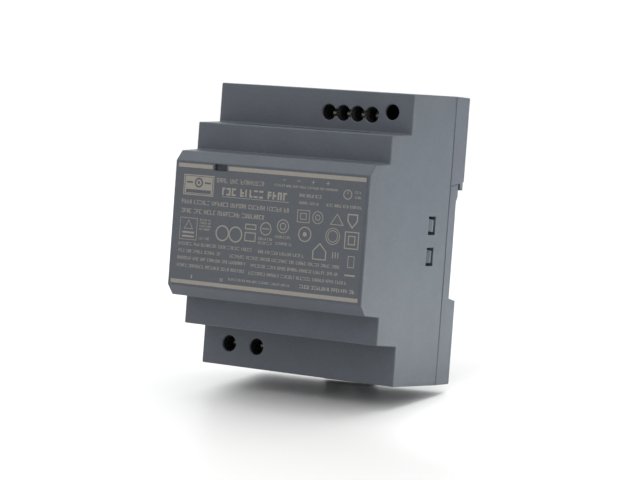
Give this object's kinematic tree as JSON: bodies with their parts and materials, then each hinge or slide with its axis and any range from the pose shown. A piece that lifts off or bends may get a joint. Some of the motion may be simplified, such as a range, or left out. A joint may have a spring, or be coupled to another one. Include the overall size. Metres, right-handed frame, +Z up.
{
  "type": "din rail power supply",
  "caption": "Stepped DIN rail power supply with screw-clamp terminals top and bottom, LED window, output trimmer and sprung rail latch.",
  "frame": {"origin": "centre of the rail seat: mid width, mid height of the 35 mm rail, on the plane that the rail's front face rests against", "axes": "+X to the right seen from the front, +Y from the front face back towards the rail and panel, +Z up towards the output terminals"},
  "size_m": [0.07, 0.0583, 0.0931],
  "materials": {
    "base_plastic": "fine spark-eroded texture, blue-grey",
    "board_laminate": "green solder mask",
    "bobbin_plastic": "black phenolic",
    "cage_steel": "zinc plated",
    "capacitor_sleeve": "black sleeve, aluminium top",
    "clear_plastic": "clear moulded",
    "copper_enamel": "enamelled copper wire",
    "cover_plastic": "fine spark-eroded texture, blue-grey",
    "device_epoxy": "black moulding compound",
    "ferrite": "sintered ferrite",
    "film_capacitor_case": "yellow moulded case",
    "fuse_ceramic": "ceramic tube with nickel caps",
    "heatsink_aluminium": "mill finish",
    "insulation_film": "milky film",
    "label_print": "matte printed film",
    "latch_plastic": "satin black acetal",
    "led_resin": "clear resin on a white base",
    "optocoupler_white": "white moulding compound",
    "pad_silicone": "grey silicone sheet",
    "rotor_plastic": "off-white moulded",
    "screw_steel": "zinc plated",
    "spring_steel": "bright drawn wire",
    "terminal_plastic": "dark moulded polyamide",
    "thermistor_coating": "black dip",
    "tinned_copper": "tin plate",
    "trimmer_plastic": "blue moulded",
    "varistor_coating": "blue epoxy dip",
    "winding_tape": "yellow polyester tape",
    "y_capacitor_coating": "blue epoxy dip"
  },
  "bodies": {
    "housing": {"auxiliary_capacitor": "capacitor_sleeve", "bridge_rectifier": "device_epoxy", "bulk_capacitor": "capacitor_sleeve", "controller_chip": "device_epoxy", "front_cover": "cover_plastic", "front_label": "label_print", "fuse_clips": "tinned_copper", "input_current_bars": "tinned_copper", "input_fuse": "fuse_ceramic", "input_terminal_housing": "terminal_plastic", "inrush_thermistor": "thermistor_coating", "insulation_sheet": "insulation_film", "latch_spring": "spring_steel", "led_light_pipe": "clear_plastic", "line_choke_core": "ferrite", "line_choke_windings": "copper_enamel", "main_board": "board_laminate", "optocouplers": "optocoupler_white", "output_capacitors": "capacitor_sleeve", "output_current_bars": "tinned_copper", "output_inductor_base": "bobbin_plastic", "output_inductor_core": "ferrite", "output_inductor_winding": "copper_enamel", "output_rectifier": "device_epoxy", "output_terminal_housing": "terminal_plastic", "primary_heatsink": "heatsink_aluminium", "rear_base": "base_plastic", "rectifier_pad": "pad_silicone", "rectifier_screw": "screw_steel", "secondary_heatsink": "heatsink_aluminium", "status_led": "led_resin", "surge_varistor": "varistor_coating", "switching_transistor": "device_epoxy", "transformer_bobbin": "bobbin_plastic", "transformer_core": "ferrite", "transformer_winding": "winding_tape", "transistor_pad": "pad_silicone", "transistor_screw": "screw_steel", "trimmer_body": "trimmer_plastic", "x_capacitor": "film_capacitor_case", "y_capacitors": "y_capacitor_coating"},
    "latch": {"rail_latch": "latch_plastic"},
    "trimmer": {"trimmer_rotor": "rotor_plastic"},
    "input_line_screw": {"input_screw_line": "screw_steel"},
    "input_line_cage": {"input_cage_line": "cage_steel"},
    "input_neutral_screw": {"input_screw_neutral": "screw_steel"},
    "input_neutral_cage": {"input_cage_neutral": "cage_steel"},
    "output_1_screw": {"output_screw_1": "screw_steel"},
    "output_1_cage": {"output_cage_1": "cage_steel"},
    "output_2_screw": {"output_screw_2": "screw_steel"},
    "output_2_cage": {"output_cage_2": "cage_steel"},
    "output_3_screw": {"output_screw_3": "screw_steel"},
    "output_3_cage": {"output_cage_3": "cage_steel"},
    "output_4_screw": {"output_screw_4": "screw_steel"},
    "output_4_cage": {"output_cage_4": "cage_steel"}
  },
  "joints": [
    {"name": "rail_latch_slide", "type": "slide", "parent": "housing", "child": "latch", "axis": [0, 0, -1], "range_m": [0, 0.0035], "stiffness_N_per_m": 1200, "springref_m": -0.004, "deforming": ["latch_spring"]},
    {"name": "trimmer_turn", "type": "hinge", "parent": "housing", "child": "trimmer", "pos_m": [0.02735, -0.0175, 0.03845], "axis": [0, 1, 0], "range_deg": [-130, 130]},
    {"name": "input_line_screw_turn", "type": "hinge", "parent": "housing", "child": "input_line_screw", "pos_m": [-0.0251, -0.025, -0.03725], "axis": [0, 1, 0], "range_deg": [0, 1800]},
    {"name": "input_line_cage_lift", "type": "slide", "parent": "housing", "child": "input_line_cage", "axis": [0, -1, 0], "range_m": [0, 0.0025]},
    {"name": "input_neutral_screw_turn", "type": "hinge", "parent": "housing", "child": "input_neutral_screw", "pos_m": [-0.01494, -0.025, -0.03725], "axis": [0, 1, 0], "range_deg": [0, 1800]},
    {"name": "input_neutral_cage_lift", "type": "slide", "parent": "housing", "child": "input_neutral_cage", "axis": [0, -1, 0], "range_m": [0, 0.0025]},
    {"name": "output_1_screw_turn", "type": "hinge", "parent": "housing", "child": "output_1_screw", "pos_m": [0.00512, -0.025, 0.03725], "axis": [0, 1, 0], "range_deg": [0, 1800]},
    {"name": "output_1_cage_lift", "type": "slide", "parent": "housing", "child": "output_1_cage", "axis": [0, -1, 0], "range_m": [0, 0.00225]},
    {"name": "output_2_screw_turn", "type": "hinge", "parent": "housing", "child": "output_2_screw", "pos_m": [0.0102, -0.025, 0.03725], "axis": [0, 1, 0], "range_deg": [0, 1800]},
    {"name": "output_2_cage_lift", "type": "slide", "parent": "housing", "child": "output_2_cage", "axis": [0, -1, 0], "range_m": [0, 0.00225]},
    {"name": "output_3_screw_turn", "type": "hinge", "parent": "housing", "child": "output_3_screw", "pos_m": [0.01528, -0.025, 0.03725], "axis": [0, 1, 0], "range_deg": [0, 1800]},
    {"name": "output_3_cage_lift", "type": "slide", "parent": "housing", "child": "output_3_cage", "axis": [0, -1, 0], "range_m": [0, 0.00225]},
    {"name": "output_4_screw_turn", "type": "hinge", "parent": "housing", "child": "output_4_screw", "pos_m": [0.02036, -0.025, 0.03725], "axis": [0, 1, 0], "range_deg": [0, 1800]},
    {"name": "output_4_cage_lift", "type": "slide", "parent": "housing", "child": "output_4_cage", "axis": [0, -1, 0], "range_m": [0, 0.00225]}
  ],
  "couplings": [
    {"joint": "input_line_screw_turn", "follows": "input_line_cage_lift", "rad_per_m": 12566},
    {"joint": "input_neutral_screw_turn", "follows": "input_neutral_cage_lift", "rad_per_m": 12566},
    {"joint": "output_1_screw_turn", "follows": "output_1_cage_lift", "rad_per_m": 13963},
    {"joint": "output_2_screw_turn", "follows": "output_2_cage_lift", "rad_per_m": 13963},
    {"joint": "output_3_screw_turn", "follows": "output_3_cage_lift", "rad_per_m": 13963},
    {"joint": "output_4_screw_turn", "follows": "output_4_cage_lift", "rad_per_m": 13963}
  ]
}
